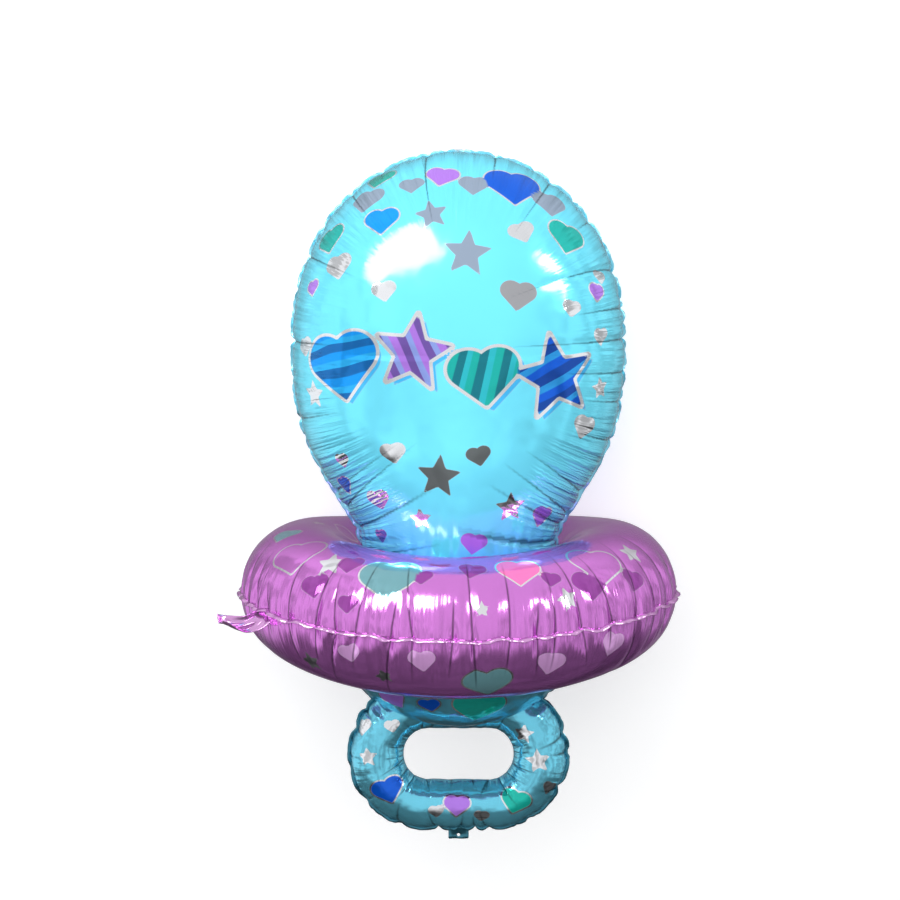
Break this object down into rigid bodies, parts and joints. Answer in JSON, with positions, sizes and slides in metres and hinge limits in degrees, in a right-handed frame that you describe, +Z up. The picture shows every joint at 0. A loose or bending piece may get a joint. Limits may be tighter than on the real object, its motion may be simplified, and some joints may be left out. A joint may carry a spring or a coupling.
{
  "type": "pacifier foil balloon",
  "caption": "Inflated foil balloon in the shape of a baby's pacifier: a blue bulb with neck, lobe and handle loop, and a purple ring as the mouth shield, lying on its back.",
  "frame": {"origin": "On the floor, below the centre of the whole object's box", "axes": "+Z up; +Y along the floor from the handle towards the bulb's tip; +X towards the side away from the ring's filling tail. The long axis tips down by 18 degrees towards the bulb."},
  "size_m": [0.5706, 0.8358, 0.5267],
  "materials": {
    "cyan_foil": "metallised film printed cyan, glossy, with hearts and stars, puckered along its welded seam",
    "purple_foil": "metallised film printed purple-pink, glossy, with hearts and stars, puckered along its welded seam"
  },
  "bodies": {
    "root": {"nipple_balloon": "cyan_foil", "ring_balloon": "purple_foil"}
  },
  "joints": []
}
